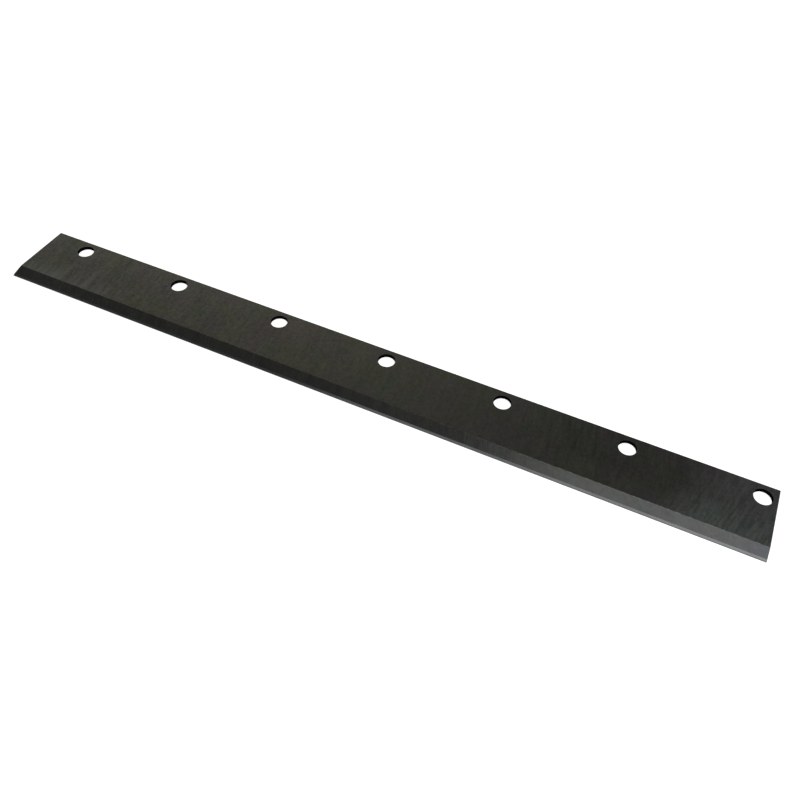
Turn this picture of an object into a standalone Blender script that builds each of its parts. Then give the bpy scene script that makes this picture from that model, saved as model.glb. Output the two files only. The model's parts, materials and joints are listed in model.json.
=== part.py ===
"""Carpet cutter blade: a long flat machine knife with a ground edge and a row of bolt holes.

Lengths are in metres. The knife lies on its flat side with the ground bevel up. +X runs along
it, +Y runs from the cutting edge to the back edge, and the origin is below the middle of its box.
"""
import math

import bmesh
import bpy

# The flat bar
WIDTH = 0.0648
THICKNESS = 0.0034
EDGE_BREAK = 0.0003

# The row of bolt holes
HOLE_COUNT = 7
HOLE_PITCH = 0.1016
HOLE_DIAMETER = 0.0143
ROW_TO_BACK_EDGE = 0.0117
LEFT_END_TO_FIRST_HOLE = 0.0381
LAST_HOLE_TO_RIGHT_END = 0.0111
MOUTH_BREAK = 0.00015

# The ground edge: a wide bevel, then a short steeper strip honed along the cutting edge
BEVEL_WIDTH = 0.0112
HONE_WIDTH = 0.0020
HONE_HEIGHT = 0.0012

# Modelling values
HOLE_SIDES = 48
CUTTER_OVERRUN = 0.0010
WELD = 0.00001
FLAT_ANGLE = math.radians(1)
SHARP_ANGLE = math.radians(10)

LENGTH = LEFT_END_TO_FIRST_HOLE + (HOLE_COUNT - 1) * HOLE_PITCH + LAST_HOLE_TO_RIGHT_END
LEFT_END = -LENGTH / 2
CUTTING_EDGE = -WIDTH / 2
BACK_EDGE = WIDTH / 2


def clear_scene():
    for thing in list(bpy.data.objects):
        bpy.data.objects.remove(thing)


def new_collection(name):
    collection = bpy.data.collections.new(name)
    bpy.context.scene.collection.children.link(collection)
    return collection


def steel():
    """Dark tool steel, ground and blackened to a satin olive grey."""
    material = bpy.data.materials.new("blackened_tool_steel")
    material.use_nodes = True
    shader = material.node_tree.nodes["Principled BSDF"]
    shader.inputs["Base Color"].default_value = (0.060, 0.058, 0.046, 1)
    shader.inputs["Metallic"].default_value = 0.85
    shader.inputs["Roughness"].default_value = 0.42
    return material


def section_outline(collection):
    """The knife's cross-section as a flat curve, extruded along the whole length.

    The curve's x is the distance from the cutting edge and its y is the height. The turn lays
    x along +Y, y along +Z and the extrusion along +X.
    """
    corners = [
        (0, 0),
        (WIDTH, 0),
        (WIDTH, THICKNESS),
        (BEVEL_WIDTH, THICKNESS),
        (HONE_WIDTH, HONE_HEIGHT),
    ]
    outline = bpy.data.curves.new("section", "CURVE")
    outline.dimensions = "2D"
    outline.fill_mode = "BOTH"
    outline.extrude = LENGTH / 2
    spline = outline.splines.new("POLY")
    spline.points.add(len(corners) - 1)
    for point, (across, height) in zip(spline.points, corners):
        point.co = (across, height, 0, 1)
    spline.use_cyclic_u = True
    section = bpy.data.objects.new("section", outline)
    section.location = (0, CUTTING_EDGE, 0)
    section.rotation_euler = (math.pi / 2, 0, math.pi / 2)
    collection.objects.link(section)
    return section


def made_mesh(curve, name, collection):
    """Turns the extruded curve into a closed mesh with one face on each flat side."""
    bpy.context.view_layer.update()
    evaluated = curve.evaluated_get(bpy.context.evaluated_depsgraph_get())
    mesh = bpy.data.meshes.new_from_object(evaluated)
    mesh.name = name
    shape = bmesh.new()
    shape.from_mesh(mesh)
    bmesh.ops.remove_doubles(shape, verts=shape.verts, dist=WELD)
    bmesh.ops.dissolve_limit(
        shape, angle_limit=FLAT_ANGLE, verts=shape.verts, edges=shape.edges
    )
    bmesh.ops.recalc_face_normals(shape, faces=shape.faces)
    shape.to_mesh(mesh)
    shape.free()
    piece = bpy.data.objects.new(name, mesh)
    piece.matrix_world = curve.matrix_world
    collection.objects.link(piece)
    bpy.data.objects.remove(curve)
    return piece


def break_edges(blade):
    """Takes the sharpness off both ends and the back edge. The cutting edge stays keen."""
    shape = bmesh.new()
    shape.from_mesh(blade.data)
    weight = shape.edges.layers.float.new("bevel_weight_edge")
    for edge in shape.edges:
        start, end = (vertex.co for vertex in edge.verts)
        around_an_end = abs(start.z - end.z) < WELD
        along_the_back = min(start.x, end.x) > WIDTH - WELD
        edge[weight] = float(around_an_end or along_the_back)
    shape.to_mesh(blade.data)
    shape.free()
    chamfer = blade.modifiers.new("edge_break", "BEVEL")
    chamfer.limit_method = "WEIGHT"
    chamfer.width = EDGE_BREAK
    chamfer.segments = 1


def hole_cutter(name, along, collection):
    """One bolt hole and the small cone at each of its mouths, turned about the hole's axis."""
    radius = HOLE_DIAMETER / 2
    wide = radius + MOUTH_BREAK + CUTTER_OVERRUN
    top = THICKNESS + CUTTER_OVERRUN
    bottom = -CUTTER_OVERRUN
    profile = [
        (0, 0, top),
        (wide, 0, top),
        (radius, 0, THICKNESS - MOUTH_BREAK),
        (radius, 0, MOUTH_BREAK),
        (wide, 0, bottom),
        (0, 0, bottom),
    ]
    mesh = bpy.data.meshes.new(name)
    mesh.from_pydata(profile, [(i, i + 1) for i in range(len(profile) - 1)], [])
    cutter = bpy.data.objects.new(name, mesh)
    cutter.location = (along, BACK_EDGE - ROW_TO_BACK_EDGE, 0)
    cutter.hide_render = True
    cutter.display_type = "WIRE"
    turn = cutter.modifiers.new("turn", "SCREW")
    turn.steps = HOLE_SIDES
    turn.render_steps = HOLE_SIDES
    turn.use_merge_vertices = True
    turn.merge_threshold = WELD
    collection.objects.link(cutter)


def bolt_holes(blade, cutters):
    """The row of equally spaced holes. It starts further from the left end than it stops from the right."""
    for number in range(HOLE_COUNT):
        along = LEFT_END + LEFT_END_TO_FIRST_HOLE + number * HOLE_PITCH
        hole_cutter(f"hole_{number + 1}", along, cutters)
    holes = blade.modifiers.new("bolt_holes", "BOOLEAN")
    holes.operation = "DIFFERENCE"
    holes.operand_type = "COLLECTION"
    holes.collection = cutters
    holes.solver = "EXACT"


def cutter_blade(collection, cutters):
    """The knife, in the order it is made: bar with its ground edge, broken edges, bolt holes."""
    blade = made_mesh(section_outline(collection), "cutter_blade", collection)
    blade.data.materials.append(steel())
    break_edges(blade)
    bolt_holes(blade, cutters)
    blade.data.shade_smooth()
    blade.data.set_sharp_from_angle(angle=SHARP_ANGLE)


def build():
    clear_scene()
    parts = new_collection("carpet_cutter_blade")
    cutters = new_collection("cutters")
    cutter_blade(parts, cutters)


build()
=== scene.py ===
"""Looks of the carpet cutter blade: a long machine knife of blackened steel with a ground, honed edge.

Lengths are in metres, in the row's frame: +X along the knife, +Y to its back edge, +Z up.
"""
import json
import math

import bmesh
import bpy
import numpy as np
from mathutils import Matrix, Vector


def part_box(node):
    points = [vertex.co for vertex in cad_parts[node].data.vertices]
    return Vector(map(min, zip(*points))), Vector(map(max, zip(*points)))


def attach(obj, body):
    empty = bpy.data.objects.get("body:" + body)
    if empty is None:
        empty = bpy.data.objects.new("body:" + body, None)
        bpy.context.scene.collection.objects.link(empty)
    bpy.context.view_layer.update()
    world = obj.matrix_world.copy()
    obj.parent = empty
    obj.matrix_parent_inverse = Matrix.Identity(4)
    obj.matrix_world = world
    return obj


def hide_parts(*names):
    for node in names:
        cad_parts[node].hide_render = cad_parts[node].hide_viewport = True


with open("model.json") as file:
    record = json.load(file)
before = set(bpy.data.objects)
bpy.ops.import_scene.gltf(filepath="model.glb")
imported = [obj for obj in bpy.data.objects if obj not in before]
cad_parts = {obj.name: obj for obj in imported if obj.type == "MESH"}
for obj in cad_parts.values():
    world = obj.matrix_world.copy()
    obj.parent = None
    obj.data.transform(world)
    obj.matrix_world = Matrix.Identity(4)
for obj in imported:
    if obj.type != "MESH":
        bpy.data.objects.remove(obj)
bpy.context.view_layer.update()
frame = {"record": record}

# The knife's box and its holes, from the frame
NODE = "cutter_blade"
LOW, HIGH = (np.array(corner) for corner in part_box(NODE))
THICKNESS = HIGH[2]
HOLE_BOXES = [np.array(opening["box_m"]) for opening in frame["record"]["physics"]["openings"]]
HOLE_CENTRES = [(box[0] + box[1])[:2] / 2 for box in HOLE_BOXES]
HOLE_ROW = HOLE_CENTRES[0][1]
HOLE_PITCH = HOLE_CENTRES[1][0] - HOLE_CENTRES[0][0]

# The knife's other sizes
BEVEL_WIDTH = 0.0112
BEVEL_CORNER = LOW[1] + BEVEL_WIDTH
HONE_WIDTH = 0.0020
HONE_HEIGHT = 0.0012
EDGE_ROUND = 0.0003
THIN_SHARE = 0.4
HOLE_RADIUS = 0.00715
MOUTH_ROUND = 0.00015

# How the section's corners are softened, and how the honed strip's width wavers
CORNER_BLEND = 0.00003
HONE_WAVER = 0.00006
SLOW_WAVER, SLOW_SHARE = 0.045, 0.7
QUICK_WAVER, QUICK_SHARE = 0.012, 0.3
NOISE_POINTS = 400

# How finely the surface is divided
CELL_HALF = 0.0105
CELL_STEPS = 24
CELL_RINGS = (0.0, 0.05, 0.16, 0.38, 0.68, 1.0)
SIDE_ROWS = (0, 0.04, 0.5, 0.96, 1)
BORE_ROWS = 6
ROUND_STEPS = 4
HONE_STEPS = 4
BEVEL_STEPS = 4
FRONT_STEPS = 8
GAP_PITCH = 0.005
SUPPORT = 0.00006
CORNER_LINES = (-3.0, -1.2, -0.4, 0.4, 1.2, 3.0)
MERGE = 0.000001

# Material slots of the knife's mesh
FACE, BEVEL, HONE, BORE, SIDES = range(5)

# Where the finish changes along the knife, from the first place to the second
RUBBED_RIGHT = (0.248, 0.288)
RUBBED_LEFT = (-0.195, -0.275)
# Painted shade: the face darkens across the first pair of places and lightens again across the second pair
SHADE_PATCH_LEFT = (0.155, 0.195)
SHADE_PATCH_RIGHT = (0.300, 0.255)
CALMER_MARKS = (-0.26, 0.06)
COOLER_FACE = (-0.04, HIGH[0])
COOLER_BEVEL = (-0.10, HIGH[0])
BLUED_BEVEL = (0.324, 0.332)

# Where it changes across the knife
# Painted shade: the darker stretch of the face starts across the knife here
SHADE_PATCH_FRONT = (-0.012, 0.004)
BARE_GREY = (0.022, 0.040)
# Painted light: the face is made up to a tenth lighter towards its back edge
PAINTED_LIGHT_BACK = (0.0, HIGH[1])
# Nicked spots and a painted highlight: the bevel is made lighter in spots just below its upper corner
NICKED_AND_HIGHLIT_CORNER = (BEVEL_CORNER - 0.0008, BEVEL_CORNER - 0.0002)

# How far its lines lean along the knife for each metre across, and how strongly the arcs bend
GRINDING_LEAN = 0.07
GRINDING_BEND = 1.6
WHEEL_LEAN = 0.35
SCUFF_LEAN = -0.27
RUBBED_LEAN = -0.5

# The span that Blender's noise mostly fills, and looks that the finishes share
NOISE_SPAN = (0.3, 0.7)
WORN_STEEL = (0.112, 0.110, 0.101)
# Low gloss at grazing angles for the holes' walls, which keeps their painted shade dark
SCALE_AND_SHADE_EDGE_GLOSS = 0.2

# The camera
EYE = Vector((0.2031, -0.4102, 0.4908))
AIM = Vector((0.0409, -0.0122, 0.0017))
ROLL = math.radians(3.465)
LENS = 37.0
SENSOR = 36.0
NEAREST = 0.01

# The room
WHITE = 1.0
ROOM_LIGHT = 0.30
FLOOR_SIZE = 60.0
FLOOR_GAP = 0.0001
FLOOR_PAINT = 0.80
FLOOR_WHITE = 0.80
CEILING_SIZE = 5.0
CEILING_HEIGHT = 1.45
CEILING_FADE = (-0.6, -0.1)
CEILING_LIGHT = (0.13, 0.185)

# The lamps: name, place along and across the knife, size, and radiance
LAMP_HEIGHT = 1.2
LAMPS = (
    ("top_box", 0.2225, -0.13, (0.355, 1.16), 1.24),
    ("top_right_box", 0.675, -0.15, (0.55, 1.2), 1.68),
    ("top_left_box", -0.21, 0.20, (0.48, 0.6), 0.053),
    ("front_box", -0.21, -0.60, (0.48, 0.5), 0.57),
    ("far_left_box", -1.60, 1.22, (1.0, 0.95), 0.97),
    ("left_box", -0.85, 1.22, (0.5, 0.95), 1.18),
    ("middle_box", -0.35, 1.22, (0.5, 0.95), 0.72),
    ("right_box", 0.65, 1.22, (0.5, 0.95), 0.23),
)


def smooth_noise(values, pitch, seed):
    """A smooth random curve: random heights set a pitch apart, joined by half cosine waves."""
    heights = np.random.default_rng(seed).uniform(-1, 1, NOISE_POINTS)
    place = np.asarray(values) / pitch + NOISE_POINTS / 2
    whole = np.floor(place).astype(int)
    share = (1 - np.cos(np.pi * (place - whole))) / 2
    return heights[whole] * (1 - share) + heights[whole + 1] * share


def soft_least(a, b, blend):
    """The lower of two heights, with a parabola where they are within the blend of each other."""
    share = np.clip(0.5 + 0.5 * (b - a) / blend, 0, 1)
    return b * (1 - share) + a * share - blend * share * (1 - share)


def hone_width(x):
    """The honed strip is finished by hand on a stone, so its width wavers a little along the knife."""
    slow = smooth_noise(x, SLOW_WAVER, seed=3)
    quick = smooth_noise(x, QUICK_WAVER, seed=8)
    return HONE_WIDTH + HONE_WAVER * (SLOW_SHARE * slow + QUICK_SHARE * quick)


def section_height(x, y):
    """Height of the ground side: the lowest of the hone's slope, the bevel's slope and the flat face.

    The hone runs straight from the cutting edge to the place where its width meets the bevel.
    """
    out = y - LOW[1]
    width = hone_width(x)
    bevel_slope = (THICKNESS - HONE_HEIGHT) / (BEVEL_WIDTH - HONE_WIDTH)
    bevel = THICKNESS + (out - BEVEL_WIDTH) * bevel_slope
    hone = out / width * (THICKNESS + (width - BEVEL_WIDTH) * bevel_slope)
    edge = soft_least(hone, bevel, CORNER_BLEND)
    return soft_least(edge, THICKNESS, CORNER_BLEND)


def edge_drop(x, y, height):
    """How far the surface falls at the ends and the back edge: a quarter circle in the distance from them.

    The circle is smaller where the knife is thinner, so that it dies out at the cutting edge.
    """
    radius = np.minimum(EDGE_ROUND, THIN_SHARE * height)
    inset = np.minimum(np.minimum(x - LOW[0], HIGH[0] - x), HIGH[1] - y)
    reach = np.clip(radius - inset, 0, radius)
    return radius - np.sqrt(np.maximum(radius ** 2 - reach ** 2, 0))


def upper(x, y):
    """A point of the ground side, which carries the bevel."""
    height = section_height(x, y)
    return np.stack([x, y, height - edge_drop(x, y, height)], -1)


def lower(x, y):
    """A point of the flat side, which the knife lies on."""
    return np.stack([x, y, edge_drop(x, y, section_height(x, y))], -1)


def rounding():
    """Distances from an edge that divide its quarter circle evenly, from the edge inwards."""
    turn = np.linspace(np.pi / 2, 0, ROUND_STEPS + 1)
    return EDGE_ROUND * (1 - np.sin(turn))


def gaps_along():
    """The lines across the knife in each stretch between the holes' cells, closer at both ends."""
    starts = [LOW[0] + EDGE_ROUND + SUPPORT] + [centre[0] + CELL_HALF for centre in HOLE_CENTRES]
    stops = [centre[0] - CELL_HALF for centre in HOLE_CENTRES] + [HIGH[0] - EDGE_ROUND - SUPPORT]
    steps = [max(1, round((stop - start) / GAP_PITCH)) for start, stop in zip(starts, stops)]
    gaps = [np.linspace(start, stop, n + 1) for start, stop, n in zip(starts, stops, steps)]
    gaps[0] = np.concatenate([LOW[0] + rounding(), gaps[0]])
    gaps[-1] = np.concatenate([gaps[-1], HIGH[0] - rounding()[::-1]])
    return gaps


def lines_along(gaps):
    """Every line across the knife: those of the gaps, and those of the holes' cells between them."""
    lines = [gaps[0]]
    for before, after in zip(gaps, gaps[1:]):
        lines.append(np.linspace(before[-1], after[0], CELL_STEPS + 1)[1:-1])
        lines.append(after)
    return np.concatenate(lines)


def front_grid(x_lines):
    """The grid from the cutting edge to the front of the holes' cells. Its lines are close at each
    corner of the section, and those by the hone follow its wavering width."""
    corner = np.array(CORNER_LINES) * SUPPORT
    cell_front = HOLE_ROW - CELL_HALF - LOW[1]
    hone = np.arange(HONE_STEPS) / HONE_STEPS * HONE_WIDTH
    bevel = np.linspace(HONE_WIDTH, BEVEL_WIDTH, BEVEL_STEPS + 1)[1:-1]
    face = np.linspace(BEVEL_WIDTH, cell_front, FRONT_STEPS + 1)[1:]
    out = np.concatenate([hone, HONE_WIDTH + corner, bevel, BEVEL_WIDTH + corner, face])
    follow = np.interp(out, [0, HONE_WIDTH, HONE_WIDTH + corner[-1], bevel[0]], [0, 1, 1, 0])
    x, out_grid = np.meshgrid(x_lines, out, indexing="ij")
    return x, LOW[1] + out_grid + (hone_width(x) - HONE_WIDTH) * follow


class Skin:
    """Gathers grids of points as faces with a material slot each, and welds them into one closed mesh."""

    def __init__(self):
        self.points, self.faces, self.slots, self.count = [], [], [], 0

    def add(self, grid, slot):
        """Adds a face between each four neighbours of a grid, with one slot for all or one for each."""
        rows, columns = grid.shape[:2]
        index = np.arange(rows * columns).reshape(rows, columns) + self.count
        corners = [index[:-1, :-1], index[1:, :-1], index[1:, 1:], index[:-1, 1:]]
        self.faces.append(np.stack(corners, -1).reshape(-1, 4))
        self.slots.append(np.broadcast_to(slot, (rows - 1, columns - 1)).reshape(-1))
        self.points.append(grid.reshape(-1, 3))
        self.count += rows * columns

    def mesh(self, name):
        """The welded mesh, with every face turned outwards."""
        points = np.concatenate(self.points).astype(np.float32)
        faces = np.concatenate(self.faces).astype(np.int32)
        mesh = bpy.data.meshes.new(name)
        mesh.vertices.add(len(points))
        mesh.vertices.foreach_set("co", points.ravel())
        mesh.loops.add(faces.size)
        mesh.loops.foreach_set("vertex_index", faces.ravel())
        mesh.polygons.add(len(faces))
        mesh.polygons.foreach_set("loop_start", np.arange(0, faces.size, 4, dtype=np.int32))
        mesh.polygons.foreach_set("material_index", np.concatenate(self.slots).astype(np.int32))
        mesh.update(calc_edges=True)
        shape = bmesh.new()
        shape.from_mesh(mesh)
        bmesh.ops.remove_doubles(shape, verts=shape.verts, dist=MERGE)
        bmesh.ops.recalc_face_normals(shape, faces=shape.faces)
        shape.to_mesh(mesh)
        shape.free()
        mesh.shade_smooth()
        return mesh


def closed_round(grid):
    """A grid whose columns run round an axis, with its first column again after its last."""
    return np.concatenate([grid, grid[:, :1]], 1)


def square_and_circle(centre):
    """Points evenly along the sides of a hole's square cell, and as many directions round its axis.

    Both start at the cell's front left corner and run the same way round.
    """
    side = np.linspace(-CELL_HALF, CELL_HALF, CELL_STEPS + 1)[:-1]
    end = np.full(CELL_STEPS, CELL_HALF)
    along = np.concatenate([side, end, -side, -end])
    out = np.concatenate([-end, side, end, -side])
    turn = np.linspace(0, 2 * np.pi, 4 * CELL_STEPS, endpoint=False) - 0.75 * np.pi
    return centre + np.stack([along, out], -1), np.stack([np.cos(turn), np.sin(turn)], -1)


def hole_cell(centre, surface):
    """The flat ring between a hole's mouth and its square cell: a straight blend from circle to square."""
    square, around = square_and_circle(centre)
    circle = centre + around * (HOLE_RADIUS + MOUTH_ROUND)
    share = np.array(CELL_RINGS)[:, None, None]
    plan = closed_round(circle * (1 - share) + square * share)
    return surface(plan[..., 0], plan[..., 1])


def hole_wall(centre):
    """A hole's wall: its profile, a straight run between two quarter-round mouths, turned about its axis."""
    around = square_and_circle(centre)[1]
    turn = np.linspace(0, np.pi / 2, ROUND_STEPS + 1)
    mouth_radius = HOLE_RADIUS + MOUTH_ROUND * (1 - np.sin(turn))
    mouth_depth = MOUTH_ROUND * (1 - np.cos(turn))
    run = np.linspace(MOUTH_ROUND + SUPPORT, THICKNESS - MOUTH_ROUND - SUPPORT, BORE_ROWS)[::-1]
    radius = np.concatenate([mouth_radius, np.full(BORE_ROWS, HOLE_RADIUS), mouth_radius[::-1]])
    height = np.concatenate([THICKNESS - mouth_depth, run, mouth_depth[::-1]])
    plan = centre + around[None] * radius[:, None, None]
    heights = np.broadcast_to(height[:, None, None], (*plan.shape[:2], 1))
    return closed_round(np.concatenate([plan, heights], -1))


def side_wall(x, y):
    """The upright wall under one line of the outline, from the lower rounding to the upper one."""
    share = np.array(SIDE_ROWS)[:, None, None]
    return lower(x, y) * (1 - share) + upper(x, y) * share


def knife_mesh():
    """The knife as a closed skin of grids in x and y, each lifted to its ground side or its flat side."""
    skin = Skin()
    gaps = gaps_along()
    x_lines = lines_along(gaps)
    front_x, front_y = front_grid(x_lines)
    cell_y = HOLE_ROW + np.linspace(-CELL_HALF, CELL_HALF, CELL_STEPS + 1)
    back_y = np.concatenate([cell_y[-1:], [HIGH[1] - EDGE_ROUND - SUPPORT], HIGH[1] - rounding()[::-1]])
    out = (front_y[0, :-1] + front_y[0, 1:]) / 2 - LOW[1]
    front_slots = np.select([out < HONE_WIDTH, out < BEVEL_WIDTH], [HONE, BEVEL], FACE)
    for surface, slots in ((upper, front_slots), (lower, FACE)):
        skin.add(surface(front_x, front_y), slots)
        skin.add(surface(*np.meshgrid(x_lines, back_y, indexing="ij")), FACE)
        for gap in gaps:
            skin.add(surface(*np.meshgrid(gap, cell_y, indexing="ij")), FACE)
        for centre in HOLE_CENTRES:
            skin.add(hole_cell(centre, surface), FACE)
    for centre in HOLE_CENTRES:
        skin.add(hole_wall(centre), BORE)
    skin.add(side_wall(x_lines, np.full_like(x_lines, HIGH[1])), SIDES)
    for end_x, end_front in ((LOW[0], front_y[0]), (HIGH[0], front_y[-1])):
        end_y = np.concatenate([end_front, cell_y[1:], back_y[1:]])
        skin.add(side_wall(np.full_like(end_y, end_x), end_y), SIDES)
    return skin.mesh("cutter_knife")


class Finish:
    """A material with a bare metal shader, and the nodes that feed it, which read Object coordinates."""

    def __init__(self, name):
        self.material = bpy.data.materials.new(name)
        self.material.use_nodes = True
        self.nodes = self.material.node_tree.nodes
        self.links = self.material.node_tree.links
        self.shader = self.nodes["Principled BSDF"]
        self.shader.inputs["Metallic"].default_value = 1.0
        self.place = self.nodes.new("ShaderNodeTexCoord").outputs["Object"]
        self.x, self.y, self.z = self.add("ShaderNodeSeparateXYZ", {}, self.place).outputs

    def add(self, kind, settings, *values, **named):
        """Adds a node. Values go to its inputs in order, or by name, as links or as constants."""
        node = self.nodes.new(kind)
        for name, value in settings.items():
            setattr(node, name, value)
        sockets = [s for s in node.inputs if s.enabled]
        for socket, value in [*zip(sockets, values), *((node.inputs[n], v) for n, v in named.items())]:
            if isinstance(value, bpy.types.NodeSocket):
                self.links.new(value, socket)
            else:
                socket.default_value = value
        return node

    def calc(self, operation, *values):
        """One step of arithmetic."""
        return self.add("ShaderNodeMath", {"operation": operation}, *values).outputs[0]

    def product(self, first, *others):
        """Several shares multiplied together."""
        for other in others:
            first = self.calc("MULTIPLY", first, other)
        return first

    def leaned(self, lean):
        """How far a point is along the knife, measured on lines that lean by this share of y."""
        return self.calc("MULTIPLY_ADD", self.y, lean, self.x)

    def ranged(self, value, low, high, to_low, to_high, smooth=False):
        """The value carried from one range to another, and held at its ends."""
        kind = "SMOOTHSTEP" if smooth else "LINEAR"
        node = self.add("ShaderNodeMapRange", {"interpolation_type": kind}, value, low, high, to_low, to_high)
        return node.outputs[0]

    def fade(self, value, start, stop):
        """A share that goes smoothly from 0 at the start to 1 at the stop."""
        return self.ranged(value, start, stop, 0, 1, smooth=True)

    def varied(self, middle, *layers):
        """A value that several noises move about its middle, each by up to its own strength."""
        for noise, strength in layers:
            middle = self.calc("ADD", middle, self.ranged(noise, *NOISE_SPAN, -strength, strength))
        return middle

    def scaled(self, *scales):
        """The place with each of its three coordinates multiplied by its own scale."""
        return self.add("ShaderNodeVectorMath", {"operation": "MULTIPLY"}, self.place, scales).outputs[0]

    def stretched(self, across, along, across_scale, along_scale, seed):
        """Noise drawn out into lines: fine in one direction and long in the other."""
        x = self.calc("MULTIPLY", across, across_scale)
        y = self.calc("MULTIPLY_ADD", along, along_scale, seed)
        place = self.add("ShaderNodeCombineXYZ", {}, x, y, seed).outputs[0]
        return self.noise(place, 1.0, detail=4.0)

    def noise(self, place, scale, detail=3.0, roughness=0.5, distortion=0.0):
        """Cloudy noise about 0.5. A larger scale makes smaller clouds."""
        named = {"Scale": scale, "Detail": detail, "Roughness": roughness, "Distortion": distortion}
        return self.add("ShaderNodeTexNoise", {}, place, **named).outputs["Fac"]

    def mixed(self, share, first, second, blend="MIX"):
        """Two colours mixed by a share, or blended in another way."""
        node = self.add("ShaderNodeMix", {"data_type": "RGBA", "blend_type": blend})
        for socket, value in zip([s for s in node.inputs if s.enabled], (share, first, second)):
            if isinstance(value, bpy.types.NodeSocket):
                self.links.new(value, socket)
            else:
                socket.default_value = value if socket.type == "VALUE" else (*value, 1)
        return [s for s in node.outputs if s.enabled][0]

    def tinted(self, colour, value):
        """A colour made lighter and darker by a value about 1."""
        grey = self.add("ShaderNodeCombineColor", {}, value, value, value).outputs[0]
        return self.mixed(1.0, colour, grey, "MULTIPLY")

    def finish(self, colour, roughness, bump, depth):
        """Links the colour, the roughness and the bump of a height whose full range is the depth."""
        self.links.new(colour, self.shader.inputs["Base Color"])
        self.links.new(roughness, self.shader.inputs["Roughness"])
        node = self.add("ShaderNodeBump", {}, Height=bump, Distance=depth)
        self.links.new(node.outputs[0], self.shader.inputs["Normal"])
        return self.material


def grinding_lines(f):
    """How far a point is across the grinding lines, which are shallow arcs that cross the knife."""
    arc = f.calc("MULTIPLY_ADD", f.calc("MULTIPLY", f.y, f.y), GRINDING_BEND, f.x)
    return f.calc("MULTIPLY_ADD", f.y, GRINDING_LEAN, arc)


def wear_reach(f, least, most):
    """How far the wear reaches in from a corner: unevenly, between two distances."""
    unevenly = f.noise(f.place, 260.0, detail=4.0, roughness=0.7)
    return f.ranged(unevenly, 0.38, 0.66, least, most, smooth=True)


def worn_edges(f):
    """How far the blacking is worn off the corners: in a thin line of uneven width along the ends, the
    back edge and the holes' mouths. The distance to the nearest hole repeats at the holes' pitch."""
    ends = f.calc("MINIMUM", f.calc("SUBTRACT", f.x, LOW[0]), f.calc("SUBTRACT", HIGH[0], f.x))
    outer = f.calc("MINIMUM", ends, f.calc("SUBTRACT", HIGH[1], f.y))
    along = f.calc("WRAP", f.calc("SUBTRACT", f.x, HOLE_CENTRES[0][0]), HOLE_PITCH / 2, -HOLE_PITCH / 2)
    out = f.calc("SUBTRACT", f.y, HOLE_ROW)
    squares = f.calc("MULTIPLY_ADD", along, along, f.calc("MULTIPLY", out, out))
    mouth = f.calc("SUBTRACT", f.calc("SQRT", squares), HOLE_RADIUS)
    reach = wear_reach(f, least=0.0002, most=0.0010)
    return f.ranged(f.calc("MINIMUM", outer, mouth), 0, reach, 0.75, 0, smooth=True)


def rubbed_right(f, mottle):
    """How far the blacking is rubbed off at the right end: in short slanted marks, most by the bevel."""
    scuffs = f.stretched(f.leaned(SCUFF_LEAN), f.y, 430.0, 50.0, seed=41.0)
    marks = f.calc("MULTIPLY_ADD", mottle, 0.30, f.calc("MULTIPLY", scuffs, 0.70))
    start = f.fade(f.leaned(RUBBED_LEAN), *RUBBED_RIGHT)
    front = f.ranged(f.y, BEVEL_CORNER, 0.014, 1.0, 0.52, smooth=True)
    return f.product(start, front, f.ranged(marks, 0.39, 0.60, 0.34, 0.90, smooth=True))


def rubbed_left(f, across):
    """How far the blacking is rubbed thin by the bevel near the left end, further and barer on some lines."""
    lines = f.stretched(across, f.y, 150.0, 8.0, seed=31.0)
    reach = f.ranged(lines, 0.40, 0.66, BEVEL_CORNER + 0.006, BEVEL_CORNER + 0.036, smooth=True)
    most = f.ranged(lines, 0.42, 0.60, 0.26, 0.64, smooth=True)
    return f.product(f.fade(f.x, *RUBBED_LEFT), f.ranged(f.y, BEVEL_CORNER, reach, most, 0, smooth=True))


def painted_shade_patch(f):
    """Painted shade: where the face is painted darker, standing in for a dark part of the room that it
    mirrors: behind the middle of the face, a hand's width before the right end.
    """
    return f.product(f.fade(f.x, *SHADE_PATCH_LEFT), f.fade(f.x, *SHADE_PATCH_RIGHT), f.fade(f.y, *SHADE_PATCH_FRONT))


def blacking(f, patches):
    """The blacking's colour: clouds of four hues, a little yellower to the left and bluer to the right."""
    olive, taupe = (0.0510, 0.0505, 0.0370), (0.0530, 0.0475, 0.0420)
    green, slate = (0.0435, 0.0500, 0.0375), (0.0480, 0.0465, 0.0480)
    warm, cool = (1.0, 1.01, 0.97), (0.95, 1.01, 1.12)
    clouds = f.noise(f.place, 26.0, detail=4.0, roughness=0.6, distortion=0.4)
    colour = f.mixed(f.fade(clouds, 0.42, 0.58), olive, taupe)
    colour = f.mixed(f.ranged(patches, 0.53, 0.68, 0, 0.8, smooth=True), colour, green)
    colour = f.mixed(f.ranged(patches, 0.44, 0.32, 0, 0.5, smooth=True), colour, slate)
    cast = f.mixed(f.ranged(f.x, *COOLER_FACE, 0, 1), warm, cool)
    return f.mixed(1.0, colour, cast, "MULTIPLY")


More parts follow.
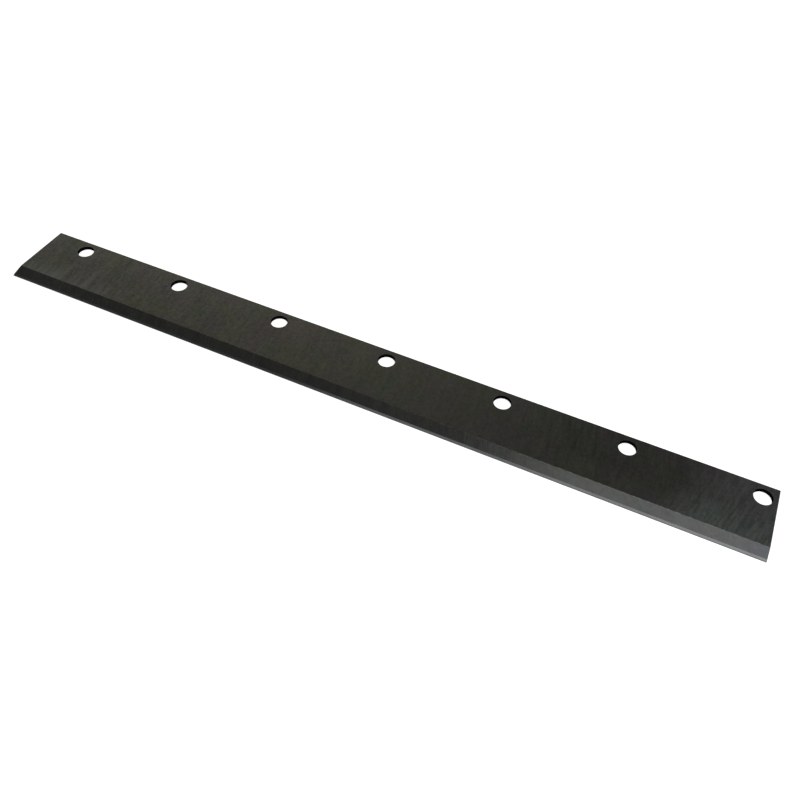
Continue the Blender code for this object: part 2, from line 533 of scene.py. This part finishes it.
def face_steel():
    """The flat faces: cross-ground, then blacked. The marks are strongest at the left end."""
    f = Finish("blackened_ground_steel")
    thinned, bare_green, bare_grey = (0.098, 0.099, 0.092), (0.106, 0.121, 0.112), (0.109, 0.107, 0.112)
    across = grinding_lines(f)
    patches = f.noise(f.place, 60.0, roughness=0.6, distortion=0.3)
    broad = f.stretched(across, f.y, 55.0, 14.0, seed=3.0)
    streaks = f.stretched(across, f.y, 260.0, 34.0, seed=11.0)
    fine = f.stretched(across, f.y, 1300.0, 60.0, seed=23.0)
    hairs = f.stretched(across, f.y, 6500.0, 110.0, seed=47.0)
    mottle = f.noise(f.place, 380.0, roughness=0.65)
    marks = f.varied(0.0, (broad, 0.07), (streaks, 0.13), (fine, 0.14), (hairs, 0.16), (mottle, 0.21))
    light = f.calc("MULTIPLY_ADD", marks, f.ranged(f.x, *CALMER_MARKS, 1.4, 0.7), 1.0)
    # Painted light: up to a tenth lighter towards the back edge
    light = f.calc("ADD", light, f.ranged(f.y, *PAINTED_LIGHT_BACK, 0, 0.10, smooth=True))
    # Painted shade: the face is made up to 0.12 darker in the stretch before the right end
    light = f.calc("SUBTRACT", light, f.calc("MULTIPLY", painted_shade_patch(f), 0.12))
    colour = f.tinted(blacking(f, patches), light)
    colour = f.mixed(rubbed_left(f, across), colour, thinned)
    bare = f.mixed(f.fade(f.calc("MULTIPLY_ADD", patches, 0.06, f.y), *BARE_GREY), bare_green, bare_grey)
    colour = f.mixed(rubbed_right(f, mottle), colour, bare)
    colour = f.mixed(worn_edges(f), colour, WORN_STEEL)
    roughness = f.varied(0.40, (streaks, 0.03), (fine, 0.04))
    return f.finish(colour, roughness, f.calc("MULTIPLY_ADD", streaks, 0.4, fine), depth=0.00002)


def bevel_steel():
    """The main bevel: ground across the knife on a fine wheel, with bright nicked spots and a painted
    highlight along its upper corner, and a touch of the wheel's blue heat at its right end."""
    f = Finish("ground_bevel_steel")
    green, grey = (0.0735, 0.0775, 0.0710), (0.0765, 0.0750, 0.0705)
    cool, blue = (0.99, 1.01, 1.06), (0.99, 1.0, 1.11)
    across = f.leaned(WHEEL_LEAN)
    fine = f.stretched(across, f.y, 1500.0, 70.0, seed=5.0)
    bands = f.stretched(across, f.y, 120.0, 20.0, seed=9.0)
    clouds = f.noise(f.place, 60.0, roughness=0.6)
    mottle = f.noise(f.place, 300.0, roughness=0.6)
    colour = f.mixed(f.fade(clouds, 0.42, 0.58), green, grey)
    colour = f.mixed(f.ranged(f.x, *COOLER_BEVEL, 0, 1), colour, cool, "MULTIPLY")
    blued = f.fade(f.calc("MULTIPLY_ADD", clouds, 0.020, f.x), *BLUED_BEVEL)
    colour = f.mixed(blued, colour, blue, "MULTIPLY")
    # Bright nicked spots, which also serve as a painted highlight along the bevel's upper corner
    nicks_and_highlight = f.ranged(f.noise(f.place, 350.0, roughness=0.6), 0.50, 0.62, 0, 0.6, smooth=True)
    light = f.varied(1.0, (fine, 0.09), (bands, 0.08), (mottle, 0.10))
    light = f.calc("ADD", light, f.product(f.fade(f.y, *NICKED_AND_HIGHLIT_CORNER), nicks_and_highlight))
    roughness = f.varied(0.255, (bands, 0.025), (fine, 0.03))
    return f.finish(f.tinted(colour, light), roughness, fine, depth=0.000012)


def hone_steel():
    """The honed strip along the cutting edge: bare bright steel with fine lines along the edge."""
    f = Finish("honed_bright_steel")
    grey, bright = (0.146, 0.151, 0.157), (0.164, 0.168, 0.171)
    lines = f.stretched(f.y, f.x, 9000.0, 60.0, seed=7.0)
    colour = f.mixed(f.fade(f.noise(f.place, 90.0, roughness=0.6), 0.35, 0.65), grey, bright)
    colour = f.tinted(colour, f.varied(1.0, (lines, 0.1)))
    roughness = f.varied(0.22, (lines, 0.03))
    return f.finish(colour, roughness, lines, depth=0.000006)


def bore_steel_and_shade():
    """The holes' walls: drilled before hardening, so they keep their dull dark scale, in rings round the
    axis. Their near-black colour is partly that scale and partly painted shade of the deep bore, and their
    gloss at grazing angles is kept low to hold that shade."""
    f = Finish("scaled_and_shaded_hole_steel")
    # Low gloss and near-black colours: partly the scale's own look, partly painted shade of the deep bore
    f.shader.inputs["Specular Tint"].default_value = (SCALE_AND_SHADE_EDGE_GLOSS, SCALE_AND_SHADE_EDGE_GLOSS, SCALE_AND_SHADE_EDGE_GLOSS, 1)
    black, brown = (0.0030, 0.0028, 0.0042), (0.0064, 0.0054, 0.0052)
    rings = f.noise(f.scaled(90.0, 90.0, 4200.0), 1.0)
    colour = f.mixed(f.fade(f.noise(f.place, 900.0, roughness=0.6), 0.45, 0.65), black, brown)
    colour = f.tinted(colour, f.varied(1.0, (rings, 0.25)))
    roughness = f.varied(0.55, (rings, 0.07))
    return f.finish(colour, roughness, rings, depth=0.00003)


def side_steel():
    """The ends and the back edge: milled along their length, then blacked with the rest."""
    f = Finish("milled_edge_steel")
    olive, brown = (0.046, 0.044, 0.037), (0.060, 0.053, 0.043)
    lines = f.noise(f.scaled(45.0, 45.0, 5200.0), 1.0)
    colour = f.mixed(f.fade(f.noise(f.place, 110.0, roughness=0.6), 0.4, 0.65), olive, brown)
    colour = f.tinted(colour, f.varied(1.0, (lines, 0.15)))
    inset = f.calc("MINIMUM", f.z, f.calc("SUBTRACT", THICKNESS, f.z))
    reach = wear_reach(f, least=1.2 * EDGE_ROUND, most=3 * EDGE_ROUND)
    colour = f.mixed(f.ranged(inset, EDGE_ROUND, reach, 0.7, 0, smooth=True), colour, WORN_STEEL)
    roughness = f.varied(0.44, (lines, 0.06))
    return f.finish(colour, roughness, lines, depth=0.00002)


def knife():
    """The whole knife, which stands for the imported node."""
    mesh = knife_mesh()
    for material in (face_steel(), bevel_steel(), hone_steel(), bore_steel_and_shade(), side_steel()):
        mesh.materials.append(material)
    piece = bpy.data.objects.new("cutter_knife", mesh)
    bpy.context.scene.collection.objects.link(piece)
    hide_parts(NODE)
    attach(piece, "root")


def seen_or_lit(nodes, links, lit, seen):
    """A strength: one value where the camera or steel sees the surface, and another where it gives light."""
    path = nodes.new("ShaderNodeLightPath")
    share = path.outputs["Is Camera Ray"]
    for kind in ("Is Glossy Ray", "Is Transmission Ray"):
        either = nodes.new("ShaderNodeMath")
        either.operation = "MAXIMUM"
        links.new(share, either.inputs[0])
        links.new(path.outputs[kind], either.inputs[1])
        share = either.outputs[0]
    level = nodes.new("ShaderNodeMix")
    level.inputs["A"].default_value = lit
    level.inputs["B"].default_value = seen
    links.new(share, level.inputs["Factor"])
    return level.outputs["Result"]


def plane(name, size, height, material):
    """A level square over the knife's middle, which isn't part of the knife."""
    mesh = bpy.data.meshes.new(name)
    half = size / 2
    corners = [(-half, -half), (half, -half), (half, half), (-half, half)]
    mesh.from_pydata([(x, y, height) for x, y in corners], [], [(0, 1, 2, 3)])
    mesh.materials.append(material)
    square = bpy.data.objects.new(name, mesh)
    bpy.context.scene.collection.objects.link(square)
    return square


def floor():
    """A plain pale floor. Seen from above it is near white by itself, and the lamps bring it to white
    outside the knife's shadow. Seen from below it is clear, so that the knife's flat side shows."""
    material = bpy.data.materials.new("pale_floor")
    material.use_nodes = True
    material.cycles.emission_sampling = "NONE"
    nodes, links = material.node_tree.nodes, material.node_tree.links
    nodes.remove(nodes["Principled BSDF"])
    glow = nodes.new("ShaderNodeEmission")
    links.new(seen_or_lit(nodes, links, 0.0, FLOOR_WHITE), glow.inputs["Strength"])
    paint = nodes.new("ShaderNodeBsdfDiffuse")
    paint.inputs["Color"].default_value = (FLOOR_PAINT, FLOOR_PAINT, FLOOR_PAINT, 1)
    both = nodes.new("ShaderNodeAddShader")
    links.new(paint.outputs[0], both.inputs[0])
    links.new(glow.outputs[0], both.inputs[1])
    side = nodes.new("ShaderNodeNewGeometry")
    clear = nodes.new("ShaderNodeBsdfTransparent")
    either = nodes.new("ShaderNodeMixShader")
    links.new(side.outputs["Backfacing"], either.inputs[0])
    links.new(both.outputs[0], either.inputs[1])
    links.new(clear.outputs[0], either.inputs[2])
    links.new(either.outputs[0], nodes["Material Output"].inputs["Surface"])
    plane("floor", FLOOR_SIZE, -FLOOR_GAP, material)


def ceiling():
    """A dim ceiling above the lamps, a little dimmer in front. The steel mirrors it where the photograph's
    steel is dark, and mirrors the white room only at its sides. The camera looks through it."""
    f = Finish("dim_ceiling")
    light = f.ranged(f.y, *CEILING_FADE, *CEILING_LIGHT, smooth=True)
    glow = f.add("ShaderNodeEmission", {}, Strength=light)
    f.links.new(glow.outputs[0], f.nodes["Material Output"].inputs["Surface"])
    f.nodes.remove(f.shader)
    plane("ceiling", CEILING_SIZE, CEILING_HEIGHT, f.material).visible_camera = False


def surroundings():
    """A plain white room that gives little light of its own."""
    world = bpy.data.worlds.new("room")
    bpy.context.scene.world = world
    world.use_nodes = True
    nodes, links = world.node_tree.nodes, world.node_tree.links
    background = nodes["Background"]
    background.inputs["Color"].default_value = (WHITE, WHITE, WHITE, 1)
    links.new(seen_or_lit(nodes, links, ROOM_LIGHT, WHITE), background.inputs["Strength"])


def soft_box(name, x, y, size, radiance):
    """A rectangular lamp that hangs level and shines down. Its power is pi times radiance times area."""
    light = bpy.data.lights.new(name, "AREA")
    light.shape = "RECTANGLE"
    light.size, light.size_y = size
    light.energy = math.pi * radiance * size[0] * size[1]
    lamp = bpy.data.objects.new(name, light)
    lamp.location = (x, y, LAMP_HEIGHT)
    lamp.visible_camera = False
    bpy.context.scene.collection.objects.link(lamp)


def camera():
    """The camera at the photograph's viewing angle: its place, the point it looks at, and its roll."""
    ahead = (AIM - EYE).normalized()
    level = ahead.cross(Vector((0, 0, 1))).normalized()
    right = level * math.cos(ROLL) + level.cross(ahead) * math.sin(ROLL)
    up = right.cross(ahead)
    data = bpy.data.cameras.new("camera")
    data.lens = LENS
    data.sensor_width = SENSOR
    data.clip_start = NEAREST
    view = bpy.data.objects.new("camera", data)
    view.matrix_world = Matrix.Translation(EYE) @ Matrix((right, up, -ahead)).transposed().to_4x4()
    bpy.context.scene.collection.objects.link(view)
    bpy.context.scene.camera = view


camera()
surroundings()
ceiling()
for lamp in LAMPS:
    soft_box(*lamp)
floor()
knife()
bpy.context.scene.view_settings.view_transform = "Standard"
